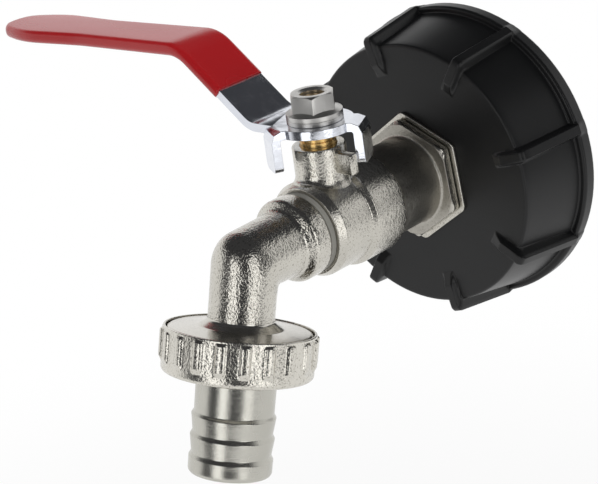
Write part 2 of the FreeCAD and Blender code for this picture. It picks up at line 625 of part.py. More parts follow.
def make_lever():
    """Steel lever: hub, two bends, a long handle and two stop tabs folded down."""
    body = new_body("lever", STEM)
    side = new_sketch(body, "lever_side", "XZ_Plane")
    side_outline(side, "0", "plate", None, "lever_reach")
    pad(body, "lever_strip", side, "3 * head_half_width", midplane=True)
    round_bends(body, "0", "plate")
    corner = "plate * tan(slope / 2)"
    dress(body, "hub_bend", "Fillet", "inner_bend_round", lambda edge: (
        abs(edge.CenterOfMass.x + number("first_bend")) < NEAR
        and abs(edge.CenterOfMass.z - number("lever_top")) < NEAR))
    dress(body, "hub_bend_below", "Fillet", "inner_bend_round + plate", lambda edge: (
        abs(edge.CenterOfMass.x + number(f"first_bend + {corner}")) < NEAR
        and abs(edge.CenterOfMass.z - number(PLATE_BOTTOM)) < NEAR))
    trim_to_plan(body, "lever_plan", "0")
    hub_cut = new_sketch(body, "hub_trim_outline", "XY_Plane")
    wide = "2 * head_half_width"
    outline(hub_cut, [("-hub_radius * 0.8", f"-{wide}"), ("3 * hub_radius", f"-{wide}"),
                      ("3 * hub_radius", wide), ("-hub_radius * 0.8", wide)])
    pocket(body, "hub_trim", hub_cut, "2 * lever_reach", reverse=True)
    hub = new_sketch(body, "hub_circle", "XY_Plane", PLATE_BOTTOM)
    circle(hub, "hub_radius")
    pad(body, "hub", hub, "plate")
    reach = "(tab_inner + plate)"
    swing = ("asin(stop_half_width / sqrt(tab_inner ^ 2 + tab_half_width ^ 2)) / 1 deg"
             " + atan(tab_half_width / tab_inner) / 1 deg + stop_gap")
    bend_side = "tab_bend * (1 - sin(45))"
    turns = {"shut": f"stop_turn + {swing}", "open": f"stop_turn - travel - ({swing})"}
    for name, turn in turns.items():
        side = new_sketch(body, f"tab_{name}_side", "XZ_Plane", turn=turn,
                          about=FreeCAD.Vector(0, 1, 0))
        outline(side, [("hub_radius / 2", "lever_top"),
                       (f"{reach} - tab_bend", "lever_top"),
                       (f"{reach} - {bend_side}", f"lever_top - {bend_side}"),
                       (reach, "lever_top - tab_bend"),
                       (reach, "tab_bottom"), ("tab_inner", "tab_bottom"),
                       ("tab_inner", f"{PLATE_BOTTOM} - tab_inner_bend"),
                       ("tab_inner - tab_inner_bend", PLATE_BOTTOM),
                       ("hub_radius / 2", PLATE_BOTTOM)])
        pad(body, f"tab_{name}", side, "2 * tab_half_width", midplane=True)
        dress(body, f"tab_{name}_corners", "Fillet", "tab_corner", lambda edge: (
            abs(edge.Length - number("plate")) < NEAR
            and abs(edge.CenterOfMass.z - number("tab_bottom")) < NEAR))
    hole = new_sketch(body, "drive_hole_outline", "XY_Plane", f"{PLATE_BOTTOM} - {BEYOND}")
    flat = "(drive_flats / 2 + hole_play)"
    bore = "(stem_radius + hole_play)"
    outline(hole, [(f"-sqrt({bore} ^ 2 - {flat} ^ 2)", f"-{flat}"),
                   (f"sqrt({bore} ^ 2 - {flat} ^ 2)", f"-{flat}"),
                   (bore, f"-{flat} / 2"), (bore, f"{flat} / 2"),
                   (f"sqrt({bore} ^ 2 - {flat} ^ 2)", flat),
                   (f"-sqrt({bore} ^ 2 - {flat} ^ 2)", flat),
                   (f"-{bore}", f"{flat} / 2"), (f"-{bore}", f"-{flat} / 2")])
    pocket(body, "drive_hole", hole, f"plate + 2 * {BEYOND}", reverse=True)
    return body


def make_grip(lever):
    """Dipped vinyl sleeve over the handle, a wall thicker than the plate all round."""
    body = new_body("grip_skin", STEM)
    side = new_sketch(body, "grip_side", "XZ_Plane")
    side_outline(side, "grip_wall", "plate + grip_wall", "grip_start", "lever_reach + grip_wall")
    pad(body, "grip_strip", side, "3 * head_half_width", midplane=True)
    round_bends(body, "grip_wall", "plate + grip_wall")
    trim_to_plan(body, "grip_plan", "grip_wall")
    grip = doc.addObject("Part::Cut", "lever_grip")
    grip.Base = body
    grip.Tool = lever
    grip.Label = "lever_grip"
    doc.recompute()
    return grip


# ---------------------------------------------------------------- nut and washer on the stem
def make_lever_nut():
    """Flanged hexagon nut."""
    body = new_body("lever_nut", STEM)
    flange_top = f"{NUT_SEAT} + nut_flange_height"
    revolve(body, "nut_flange", [
        ("nut_bore", NUT_SEAT), ("nut_flange_radius", NUT_SEAT),
        ("nut_flange_radius", flange_top),
        ("nut_flats / 2", f"{flange_top} + nut_cone_height"),
        ("nut_bore", f"{flange_top} + nut_cone_height")], STEM)
    prism = new_sketch(body, "nut_hexagon", "XY_Plane", flange_top)
    hexagon(prism, "nut_flats", "nut_turn")
    circle(prism, "nut_bore")
    pad(body, "nut_prism", prism, "nut_height - nut_flange_height")
    corner = "nut_flats / 2 / cos(30)"
    revolve(body, "nut_corner_bevel", [
        ("nut_flats / 2", NUT_TOP), (f"{corner} + {BEYOND}", NUT_TOP),
        (f"{corner} + {BEYOND}", f"{NUT_TOP} - 2 * nut_bevel"), (corner, f"{NUT_TOP} - nut_bevel")],
        STEM, cut=True)
    revolve(body, "nut_mouth_bevel", [
        ("nut_bore / 2", NUT_TOP), ("nut_bore + nut_mouth", NUT_TOP),
        ("nut_bore", f"{NUT_TOP} - nut_mouth"), ("nut_bore / 2", f"{NUT_TOP} - nut_mouth")],
        STEM, cut=True)
    return body


# ---------------------------------------------------------------- spout
def make_spout():
    """Cast spout: threaded plug, groove, bead, bend, drop leg, disc and outlet thread."""
    body = new_body("outlet_spout")
    revolve(body, "spout_level_leg", [
        ("0", PLUG_END), ("plug_radius - plug_edge", PLUG_END),
        ("plug_radius", f"{PLUG_END} - plug_edge"),
        ("plug_radius", BODY_END), ("groove_radius", BODY_END), ("groove_radius", BEAD_START),
        ("bead_radius - bead_bevel", BEAD_START), ("bead_radius", f"{BEAD_START} - bead_bevel"),
        ("bead_radius", f"{BEAD_END} + bead_bevel"), ("bead_radius - bead_bevel", BEAD_END),
        ("spout_radius", f"{BEAD_END} - bead_fall"), ("spout_radius", "corner_y"),
        ("0", "corner_y")])
    add_corner_sphere(body, "spout_corner", "corner_radius", "PartDesign::AdditiveSphere")
    drop = down([
        ("0", "0"), ("drop_radius", "0"), ("drop_radius", "disc_distance - cone_height"),
        ("cone_radius", "disc_distance - disc_edge"), ("disc_radius - disc_edge", "disc_distance"),
        ("disc_radius", "disc_distance + disc_edge"), ("disc_radius", DISC_BACK),
        ("outlet_thread_radius", DISC_BACK), ("outlet_thread_radius", "outlet_end"),
        ("0", "outlet_end")])
    revolve_drop(body, "spout_drop_leg", drop, "PartDesign::Revolution")
    revolve(body, "spout_level_bore", [
        ("0", f"{PLUG_END} + {BEYOND}"), ("seat_radius + seat_play", f"{PLUG_END} + {BEYOND}"),
        ("seat_radius + seat_play", OUTLET_SEAT_FRONT), ("spout_bore", OUTLET_SEAT_FRONT),
        ("spout_bore", "corner_y"), ("0", "corner_y")], cut=True)
    add_corner_sphere(body, "spout_corner_bore", "spout_bore", "PartDesign::SubtractiveSphere")
    revolve_drop(body, "spout_drop_bore", down([
        ("0", "0"), ("spout_bore", "0"), ("spout_bore", "disc_distance"),
        ("outlet_bore", DISC_BACK), ("outlet_bore", f"outlet_end + {BEYOND}"),
        ("0", f"outlet_end + {BEYOND}")]), "PartDesign::Groove")
    return body


def add_corner_sphere(body, name, radius, kind):
    """A sphere at the corner of the spout."""
    sphere = body.newObject(kind, name)
    sphere.AttachmentSupport = [(plane_of(body, "XY_Plane"), "")]
    sphere.MapMode = "FlatFace"
    sphere.setExpression("Radius", size(radius))
    sphere.setExpression("AttachmentOffset.Base.y", size("corner_y"))
    doc.recompute()


def revolve_drop(body, name, points, kind):
    """Turn an outline about the drop axis of the spout, which leans forward."""
    sketch = new_sketch(body, name + "_outline", "YZ_Plane", turn="-spout_tilt")
    sketch.setExpression("AttachmentOffset.Base.x", size("corner_y"))
    outline(sketch, points)
    turned = body.newObject(kind, name)
    turned.Profile = sketch
    turned.ReferenceAxis = (sketch, ["V_Axis"])
    turned.Angle = 360
    doc.recompute()


# ---------------------------------------------------------------- swivel nut and hose tail
def make_swivel_nut():
    """Cast union nut with raised half-round grips and a plain rounded lower band."""
    body = new_body("swivel_nut", SPOUT)
    thread = "outlet_thread_radius + swivel_thread_play"
    hole = "tail_radius + tail_play"
    revolve(body, "nut_turning", down([
        (thread, "swivel_top"), (f"{SWIVEL_RADIUS} - rim_bevel", "swivel_top"),
        (SWIVEL_RADIUS, "swivel_top + rim_bevel"), (SWIVEL_RADIUS, "swivel_bottom"),
        (hole, "swivel_bottom"), (hole, "swivel_bottom - lip"),
        (thread, "swivel_bottom - lip")]), SPOUT)
    dress(body, "nut_lower_round", "Fillet", "bottom_round", lambda edge: (
        is_ring(edge, SWIVEL_RADIUS, "-swivel_bottom", "z")))
    rib = new_sketch(body, "grip_rib_circle", "XY_Plane", "-(swivel_top + rim_bevel)")
    centre = f"({SWIVEL_RADIUS} - flute_sink)"
    circle(rib, "flute_radius", f"{centre} * cos(flute_phase)", f"{centre} * sin(flute_phase)")
    grip = pad(body, "grip_rib", rib, "flute_length", reverse=True)
    polar(body, "grip_ribs", grip, "XY_Plane", "flute_count")
    floor = f"({DISC_BACK} + disc_play)"
    revolve(body, "disc_pocket", down([
        ("0", f"swivel_top - {BEYOND}"), (SWIVEL_POCKET, f"swivel_top - {BEYOND}"),
        (SWIVEL_POCKET, floor), ("0", floor)]), SPOUT, cut=True)
    return body


def make_hose_tail():
    """Turned tail: flange, plain length, barbs and a rounded end."""
    points = [("tail_bore", TAIL_WASHER_END), ("tail_flange_radius", TAIL_WASHER_END),
              ("tail_flange_radius", TAIL_FLANGE_END), ("tail_radius", TAIL_FLANGE_END),
              ("tail_waist", "barb_start - barb_fall")]
    for barb in range(int(number("barb_count"))):
        if barb:
            points.append(("barb_root", f"barb_start + {barb} * barb_pitch - barb_fall"))
        points.append(("barb_radius", f"barb_start + {barb} * barb_pitch + barb_step"))
    points += [("end_radius", "end_start"), ("end_radius", "tail_end"),
               ("tail_bore", "tail_end")]
    body = turned_piece("hose_tail", SPOUT, down(points))
    dress(body, "tail_end_round", "Fillet", "end_round", lambda edge: (
        is_ring(edge, "end_radius", "-tail_end", "z")))
    return body


# ---------------------------------------------------------------- the assembly
def make_all():
    """Every piece in the order of assembly."""
    pieces = [make_cap()]
    pieces.append(washer("cap_gasket", FLOW, "gasket_inner", "relief_radius - gasket_play",
                         CAP_INNER, f"{CAP_INNER} + gasket_thickness"))
    pieces.append(make_insert())
    pieces.append(washer("inlet_seal", FLOW, "seal_inner", "seal_outer", HEX_BACK, INSERT_FRONT))
    pieces.append(make_valve_body())
    pieces.append(make_ball())
    pieces.append(make_seat("inlet_seat", INLET_SEAT_BACK, INLET_SEAT_FRONT))
    pieces.append(make_seat("outlet_seat", OUTLET_SEAT_BACK, OUTLET_SEAT_FRONT))
    pieces.append(make_stem())
    pieces.append(washer("stem_washer", STEM, GLAND_BORE, "collar_radius",
                         f"{COLLAR_TOP} + washer_play", WASHER_TOP))
    pieces.append(washer("stem_packing", STEM, GLAND_BORE, "boss_bore - gland_play",
                         "boss_floor", "boss_floor + packing_height"))
    pieces.append(make_gland())
    lever = make_lever()
    pieces += [lever, make_grip(lever)]
    pieces.append(washer("lock_washer", STEM, "stem_radius + hole_play", "nut_flange_radius",
                         "lever_top", NUT_SEAT))
    pieces.append(make_lever_nut())
    pieces.append(make_spout())
    pieces.append(washer("spout_seal", FLOW, "groove_radius + ring_play", "ring_outer",
                         f"{BODY_END} - ring_side_play", f"{BEAD_START} + ring_side_play"))
    pieces.append(make_swivel_nut())
    pieces.append(washer("hose_washer", SPOUT, "tail_bore", "tail_flange_radius",
                         f"-{TAIL_WASHER_TOP}", f"-{TAIL_WASHER_END}"))
    pieces.append(make_hose_tail())
    return pieces


def check_document():
    """Stop if any object of the document failed."""
    for item in doc.Objects:
        if "Invalid" in item.State or "Error" in item.State:
            raise ValueError(f"{item.Label} failed: {item.State}")


def write_parts(pieces):
    """Check each piece and write it to its own file."""
    os.makedirs("parts", exist_ok=True)
    for piece in pieces:
        shape = piece.Shape
        if shape.isNull() or not shape.isValid() or not shape.Solids:
            raise ValueError(f"{piece.Label} has no valid solid")
        shape.exportStep(f"parts/{piece.Label}.step")
        print(f"{piece.Label}: {len(shape.Solids)} solid, {shape.Volume:.0f} mm3")


parts = make_all()
doc.recompute()
check_document()
write_parts(parts)
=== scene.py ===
"""Looks of a tank outlet valve: screw cap, quarter-turn ball valve with a dipped lever, bent
spout, swivel nut and barbed hose tail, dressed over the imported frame.

Pieces are worked out in millimetres and put into their meshes in metres. The flow axis is Y,
the stem stands along Z, and the spout leaves its corner down a leaning axis.
"""
import json
import math

import bmesh
import bpy
import numpy as np
from mathutils import Matrix, Vector


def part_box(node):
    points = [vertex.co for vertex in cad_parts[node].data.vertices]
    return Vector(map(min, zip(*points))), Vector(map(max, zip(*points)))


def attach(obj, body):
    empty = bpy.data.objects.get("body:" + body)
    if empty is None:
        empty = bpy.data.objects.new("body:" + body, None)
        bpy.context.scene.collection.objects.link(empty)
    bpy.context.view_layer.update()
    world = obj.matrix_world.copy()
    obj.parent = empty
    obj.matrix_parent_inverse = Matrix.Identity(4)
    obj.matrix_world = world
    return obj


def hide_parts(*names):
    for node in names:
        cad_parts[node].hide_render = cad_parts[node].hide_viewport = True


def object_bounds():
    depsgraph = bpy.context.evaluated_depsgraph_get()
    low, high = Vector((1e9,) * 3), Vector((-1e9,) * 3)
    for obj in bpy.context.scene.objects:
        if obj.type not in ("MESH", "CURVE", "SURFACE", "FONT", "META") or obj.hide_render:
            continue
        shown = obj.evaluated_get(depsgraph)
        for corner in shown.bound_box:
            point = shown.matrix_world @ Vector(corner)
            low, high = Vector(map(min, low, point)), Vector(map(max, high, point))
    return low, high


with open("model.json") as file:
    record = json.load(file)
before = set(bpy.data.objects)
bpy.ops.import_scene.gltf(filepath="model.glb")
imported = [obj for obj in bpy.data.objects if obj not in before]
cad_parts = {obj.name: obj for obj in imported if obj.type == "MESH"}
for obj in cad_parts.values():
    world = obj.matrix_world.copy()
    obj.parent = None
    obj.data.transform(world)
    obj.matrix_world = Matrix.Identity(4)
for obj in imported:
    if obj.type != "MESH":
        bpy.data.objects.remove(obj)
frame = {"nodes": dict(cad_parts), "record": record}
cad_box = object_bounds()
MM = 0.001
TURN = 2 * math.pi


# ------------------------------------------------------------------ places read from the frame
def box_mm(node):
    """Lowest and highest corner of a CAD node, in millimetres."""
    low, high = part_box(node)
    return np.array(low) / MM, np.array(high) / MM


JOINT = {joint["name"]: joint for joint in frame["record"]["behaviour"]["joints"]}
SPOUT_DOWN = np.array(JOINT["nut_swivel"]["axis"], float)
SPOUT_DOWN *= -np.sign(SPOUT_DOWN[2]) / np.linalg.norm(SPOUT_DOWN)
STEM_Y = JOINT["lever_turn"]["pos_m"][1] / MM
CORNER = np.array(JOINT["nut_swivel"]["pos_m"], float) / MM
CORNER = CORNER - SPOUT_DOWN * CORNER[2] / SPOUT_DOWN[2]
ACROSS = np.array([1.0, 0.0, 0.0])
SPOUT_OUT = np.cross(ACROSS, SPOUT_DOWN)
SPOUT_OUT *= -np.sign(SPOUT_OUT[1])
UP = np.array([0.0, 0.0, 1.0])
INLET_LENGTH = 9.8


# ------------------------------------------------------------------ shapes as arrays
def unit(v):
    """Vectors along the last axis, made one long."""
    return v / np.linalg.norm(v, axis=-1, keepdims=True)


def smooth(value, start, end):
    """0 before start, 1 after end, and t * t * (3 - 2 t) between."""
    t = np.clip((value - start) / (end - start), 0, 1)
    return t * t * (3 - 2 * t)


def rounded(corners, turns=5, sides=0, closed=True):
    """Outline through corners (across, along, radius): every corner is an arc tangent to both of
    its sides, and every side carries an even number of points between its arcs.

    With a and b the directions to the neighbours and h half the angle between them, the arc
    starts radius / tan(h) from the corner and its centre lies radius / sin(h) away.
    """
    corners = np.array(corners, float)
    place, radius = corners[:, :2], corners[:, 2]
    back, ahead = np.roll(place, 1, 0) - place, np.roll(place, -1, 0) - place
    reach = np.minimum(np.linalg.norm(back, axis=1), np.linalg.norm(ahead, axis=1))
    a, b = unit(back), unit(ahead)
    half = np.clip(np.arccos(np.clip((a * b).sum(1), -1, 1)) / 2, 0.02, math.pi / 2 - 0.02)
    cut = np.minimum(radius / np.tan(half), 0.48 * reach)
    middle = unit(a + b + 1e-9) * (cut / np.cos(half))[:, None]
    swing = (math.pi - 2 * half)[:, None, None]
    t = np.linspace(0, 1, turns)[None, :, None]
    start, end = (a * cut[:, None] - middle)[:, None], (b * cut[:, None] - middle)[:, None]
    arc = (place + middle)[:, None] + (
        np.sin((1 - t) * swing) * start + np.sin(t * swing) * end) / np.sin(swing)
    if not closed:
        arc[0], arc[-1] = place[0], place[-1]
    share = np.linspace(0, 1, sides + 2)[1:-1][None, :, None]
    side = arc[:, -1:] * (1 - share) + np.roll(arc, -1, 0)[:, :1] * share
    path = np.concatenate([arc, side], 1).reshape(-1, 2)
    return path if closed else path[turns - 1:len(path) - turns + 1 - sides]


def around(count, phase=0.0):
    """Angles round a full turn, evenly spaced."""
    return phase + TURN * np.arange(count) / count


def clustered(count, phase, reach, dense, sparse):
    """Angles round a turn, dense within reach of each of count equal places."""
    near = np.linspace(-reach, reach, dense)
    gap = np.linspace(reach, TURN / count - reach, sparse + 2)[1:-1]
    one = np.concatenate([near, gap])
    return (phase + TURN * np.arange(count)[:, None] / count + one).reshape(-1)


def turned(path, angles, origin, axis, side, radius=None):
    """Rings about an axis: origin + along * axis + r * (cos a * side + sin a * (axis x side)).

    path holds (r, along) pairs; radius, if given, replaces r by one value per ring and angle.
    """
    r = path[:, :1] if radius is None else radius
    other = np.cross(axis, side)
    ring = np.cos(angles)[:, None] * side + np.sin(angles)[:, None] * other
    return origin + path[:, 1, None, None] * axis + r[..., None] * ring


def grid_faces(rows, columns, wrap_rows):
    """Quads between neighbouring rings, closed round each ring and, if asked, last to first."""
    r = np.arange(rows if wrap_rows else rows - 1)[:, None]
    c = np.arange(columns)[None]
    nr, nc = (r + 1) % rows, (c + 1) % columns
    return np.stack([r * columns + c, nr * columns + c, nr * columns + nc,
                     r * columns + nc], -1).reshape(-1, 4)


def shell(rings, wrap_rows=True):
    """One closed surface from rings of points: (points, quads, end polygons)."""
    rows, columns = rings.shape[:2]
    quads = grid_faces(rows, columns, wrap_rows)
    first = np.arange(columns)
    ends = [] if wrap_rows else [first.tolist(), (first[::-1] + (rows - 1) * columns).tolist()]
    points = rings.reshape(-1, 3)
    corner = points[quads]
    volume = np.einsum("ij,ij->i", corner[:, 0] - points[0], np.cross(
        corner[:, 2] - corner[:, 0], corner[:, 3] - corner[:, 1])).sum()
    if volume < 0:
        quads = quads[:, ::-1]
        ends = [end[::-1] for end in ends]
    return points, quads, ends


# ------------------------------------------------------------------ pieces
def add_piece(name, shells, material, body, stands_for, crease=38):
    """One mesh from closed shells, smooth but for edges sharper than the crease, on its body."""
    points, faces, shift = [], [], 0
    for place, quads, ends in shells:
        points.append(place)
        faces += (quads + shift).tolist() + [[i + shift for i in end] for end in ends]
        shift += len(place)
    mesh = bpy.data.meshes.new(name)
    mesh.from_pydata(np.concatenate(points) * MM, [], faces)
    mesh.validate()
    mesh.shade_smooth()
    mesh.set_sharp_from_angle(angle=math.radians(crease))
    mesh.materials.append(material)
    piece = bpy.data.objects.new(name, mesh)
    bpy.context.scene.collection.objects.link(piece)
    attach(piece, body)
    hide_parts(stands_for)
    return piece


def spout_rings(path, angles, radius=None):
    """Rings about the leaning axis of the spout, stations counted down from its corner."""
    return turned(path, angles, CORNER, SPOUT_DOWN, ACROSS, radius)


# ------------------------------------------------------------------ screw cap
def tank_cap(material):
    """Cup whose outline B(u) swells to the lug outline L(u) by w, the lug's cross-section.

    point = B(u) + w(r * angle) * (L(u) - B(u)), and the wall inside carries a trapezoid thread
    whose depth is a function of (along / pitch + angle / turn).
    """
    low = box_mm("tank_cap")[0]
    face, inner, rim = low[1] + 1.6, low[1] + 6.1, 4.2
    hub = 13.65
    wall = 30.0
    plain = rounded([
        (hub, face, 0.2), (26.4, face, 1), (29.6, face, 1), (34.2, face, 0.8),
        (37.2, -rim, 0.5), (39.0, -rim, 0.8), (39.0, -rim / 2, 0.6), (39.0, 0, 0.9),
        (wall, 0, 0.4), (wall, inner + 4.6, 0.2), (31.0, inner + 4.6, 0.2), (31.0, inner, 0.3),
        (hub, inner, 0.2)], turns=7, sides=10)
    lugged = rounded([
        (hub, face, 0.2), (26.4, face, 1), (29.6, face - 1.6, 1.4), (36.8, face - 1.6, 1.5),
        (39.6, -rim, 0.5), (39.65, -rim + 0.3, 0.3), (39.3, -rim / 2, 0.6), (39.0, 0, 0.9),
        (wall, 0, 0.4), (wall, inner + 4.6, 0.2), (31.0, inner + 4.6, 0.2), (31.0, inner, 0.3),
        (hub, inner, 0.2)], turns=7, sides=10)
    phase = math.radians(15.5)
    angles = clustered(8, phase, 0.088, 27, 10)
    off = np.abs((angles - phase + TURN / 16) % (TURN / 8) - TURN / 16)
    swell = 1 - smooth(plain[:, :1] * off[None], 1.0, 2.0)
    radius = plain[:, :1] + swell * (lugged - plain)[:, :1]
    along = plain[:, 1:] + swell * (lugged - plain)[:, 1:]
    on_wall = (np.abs(plain[:, :1] - wall) < 0.3) & (plain[:, 1:] < -0.3)
    rise = (along / 6.0 - angles[None] / TURN) % 1.0
    ridge = smooth(np.abs(rise - 0.5), 0.36, 0.16)
    depth = ridge * 1.9 * smooth(-along, 0.5, 3.0) * smooth(along, inner + 4.8, inner + 6.5)
    radius = radius - np.where(on_wall, depth, 0)
    ring = np.stack([np.cos(angles), np.sin(angles)])
    rings = np.stack([radius * ring[0], along, radius * ring[1]], -1)
    return add_piece("screw_cap", [shell(rings)], material, "valve", "tank_cap")


# ------------------------------------------------------------------ spout, nut and tail
def bend_rings(radius, inner_round, outer_round, angles, count):
    """Rings through the corner of a mitred pipe whose every strip is rounded on its own.

    A strip at offset e from the axis, measured outwards, follows an arc of radius
    k(e) = mean + slope * e about corner + (e - k) * (out + tan(bend / 2) * level).
    """
    level, out = np.array([0.0, -1.0, 0.0]), UP
    bend = math.acos(float(level @ SPOUT_DOWN))
    offset = radius * np.cos(angles)
    ease = (inner_round + outer_round) / 2 + (outer_round - inner_round) / 2 * np.cos(angles)
    t = np.linspace(0, bend, count)[:, None, None]
    centre = (offset - ease)[None, :, None] * (out + math.tan(bend / 2) * level)
    arc = ease[None, :, None] * (np.cos(t) * out + np.sin(t) * level)
    return CORNER + centre + arc + (radius * np.sin(angles))[None, :, None] * ACROSS


def leg_rings(path, angles, axis, out):
    """Rings square to a straight leg of the spout: path holds (r, distance from the corner)."""
    ring = np.cos(angles)[:, None] * out + np.sin(angles)[:, None] * ACROSS
    return CORNER + path[:, 1, None, None] * axis + path[:, :1, None] * ring


def outlet_spout(material):
    """One closed tube: level leg with its bead, corner, drop leg with cone, disc and thread,
    then back up the bore. Distances run from the corner along each leg."""
    angles = around(112)
    level = np.array([0.0, -1.0, 0.0])
    plug = box_mm("outlet_spout")[1][1] - CORNER[1]
    body_end, groove_end, bead_end = plug - 3.9, plug - 5.7, plug - 10.3
    outer_level = rounded([
        (6.4, -plug, 0.2), (9.6, -plug, 0.5), (9.6, -body_end, 0.1), (9.2, -body_end, 0.1),
        (9.2, -groove_end, 0.2), (10.3, -groove_end, 0.9), (10.3, -bead_end, 1.5),
        (8.15, -bead_end + 1.7, 1.6), (8.05, -7.6, 1)], turns=6, sides=2, closed=False)
    drop = rounded([
        (7.85, 7.6, 1), (7.85, 13.3, 1.2), (10.2, 14.75, 1.4), (16.4, 15.45, 0.5),
        (17.0, 15.75, 0.35), (17.0, 16.9, 0.3), (13.2, 16.9, 0.2), (13.2, 21.6, 0.5),
        (7.4, 21.6, 0.3), (7.4, 16.9, 0.5), (6.2, 15.4, 0.5), (6.2, 7.6, 1)],
        turns=6, sides=2, closed=False)
    level_bore = rounded([
        (6.2, -7.6, 1), (6.2, -plug + 3.3, 0.2), (8.15, -plug + 3.3, 0.2), (8.15, -plug, 0.2)],
        turns=4, sides=3, closed=False)
    rings = np.concatenate([
        leg_rings(outer_level, angles, level, UP),
        bend_rings(7.95, 1.2, 7.2, angles, 22),
        leg_rings(drop, angles, SPOUT_DOWN, SPOUT_OUT),
        bend_rings(6.2, 0.8, 5.8, angles, 16)[::-1],
        leg_rings(level_bore, angles, level, UP)])
    return add_piece("bent_spout", [shell(rings)], material, "valve", "outlet_spout")


def swivel_nut(material):
    """Nut outline B(u) swelling to the grip outline L(u): half-round grips with soft ends."""
    hole, thread, pocket, skin, grip = 9.85, 13.55, 17.35, 17.9, 18.6
    top, floor, base = 15.3, 17.25, 26.0
    stations = [(pocket, top, 0.1), (skin, top, 0.25), (skin, top + 0.6, 0.3),
                (skin, top + 1.3, 0.5), (skin, top + 7.4, 0.5), (skin, top + 8.4, 0.5),
                (skin, base, 1.9), (hole, base, 0.4), (hole, base - 1.3, 0.2),
                (thread, base - 1.3, 0.3), (thread, floor, 0.3), (pocket, floor, 0.2)]
    plain = rounded(stations, turns=6, sides=4)
    stations[3], stations[4] = (grip, top + 1.0, 0.6), (grip, top + 7.1, 0.9)
    gripped = rounded(stations, turns=6, sides=4)
    count, phase = 20, math.radians(5)
    angles = clustered(count, phase, 0.085, 15, 3)
    off = np.abs((angles - phase + TURN / count / 2) % (TURN / count) - TURN / count / 2) * skin
    swell = np.sqrt(np.clip(1 - (off / 1.45) ** 2, 0, 1)) * smooth(off, 1.5, 0.9)
    wide = plain[:, :1] + swell[None] * (gripped - plain)[:, :1]
    along = plain[:, 1:] + swell[None] * (gripped - plain)[:, 1:]
    ring = np.cos(angles)[:, None] * ACROSS + np.sin(angles)[:, None] * np.cross(SPOUT_DOWN, ACROSS)
    rings = CORNER + along[..., None] * SPOUT_DOWN + wide[..., None] * ring
    return add_piece("union_nut", [shell(rings)], material, "swivel_nut", "swivel_nut",
                     crease=50)


def hose_tail(material):
    """Turned tail: each barb steps out sharply and falls away towards the end."""
    bore, waist, root, crest, end = 7.4, 9.4, 9.3, 9.95, 9.9
    corners = [(bore, 23.0, 0.2), (12.8, 23.0, 0.3), (12.8, 24.5, 0.3), (9.5, 24.5, 0.3),
               (waist, 34.9, 0.3)]
    for barb in (35.2, 40.2, 45.2):
        corners += [(crest, barb + 0.55, 0.35), (root + 0.1, barb + 4.6, 0.3)]
    corners[-1] = (end, 46.8, 0.8)
    corners += [(end, 49.8, 1.2), (bore, 49.8, 0.5)]
    path = rounded(corners, turns=7, sides=3)
    rings = spout_rings(path, around(128))
    return add_piece("barbed_tail", [shell(rings)], material, "hose_tail", "hose_tail",
                     crease=60)


